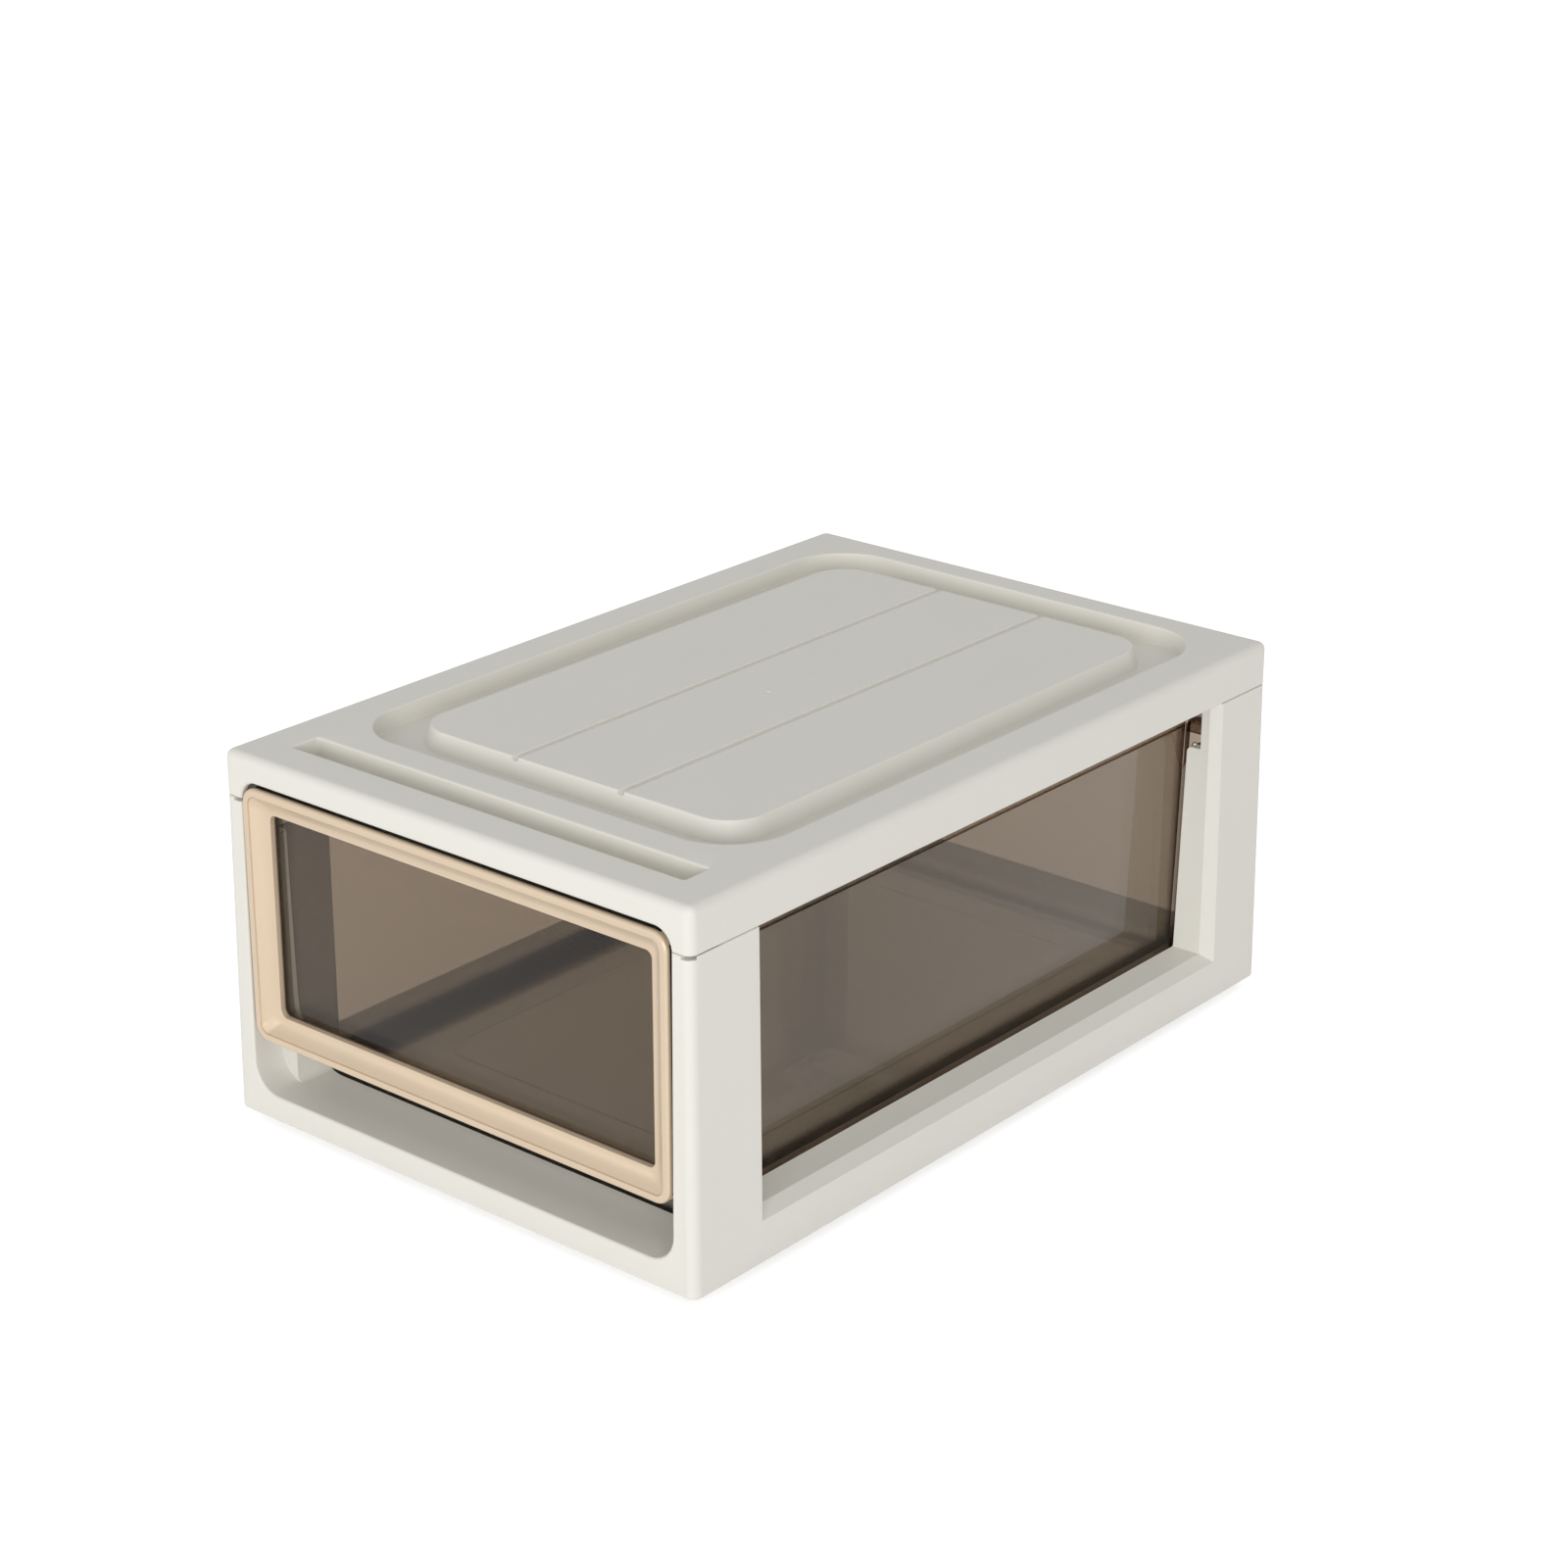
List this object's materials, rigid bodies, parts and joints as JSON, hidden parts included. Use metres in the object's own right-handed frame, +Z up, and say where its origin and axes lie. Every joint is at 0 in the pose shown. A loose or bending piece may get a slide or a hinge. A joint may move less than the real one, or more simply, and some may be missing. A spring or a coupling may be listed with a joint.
{
  "type": "stackable drawer box",
  "caption": "Low stackable storage box: an open-sided moulded housing with a grooved top cover and a smoky clear drawer with a champagne trim frame.",
  "frame": {"origin": "middle of the footprint, on the plane that the stacking ribs under the base stand on", "axes": "+X to the right seen from the front, +Y towards the back, +Z up; the drawer opens towards -Y"},
  "size_m": [0.2394, 0.3626, 0.1558],
  "materials": {
    "housing_plastic": "fine satin polypropylene, warm ivory white",
    "cover_plastic": "fine satin polypropylene, warm ivory white",
    "smoky_plastic": "clear smoky brown, polished",
    "trim_finish": "champagne gold satin coating"
  },
  "bodies": {
    "case": {"housing": "housing_plastic", "top_cover": "cover_plastic"},
    "drawer": {"drawer_tub": "smoky_plastic", "drawer_trim": "trim_finish"}
  },
  "joints": [
    {"name": "drawer_slide", "type": "slide", "parent": "case", "child": "drawer", "axis": [0, -1, 0], "range_m": [0, 0.29]}
  ]
}
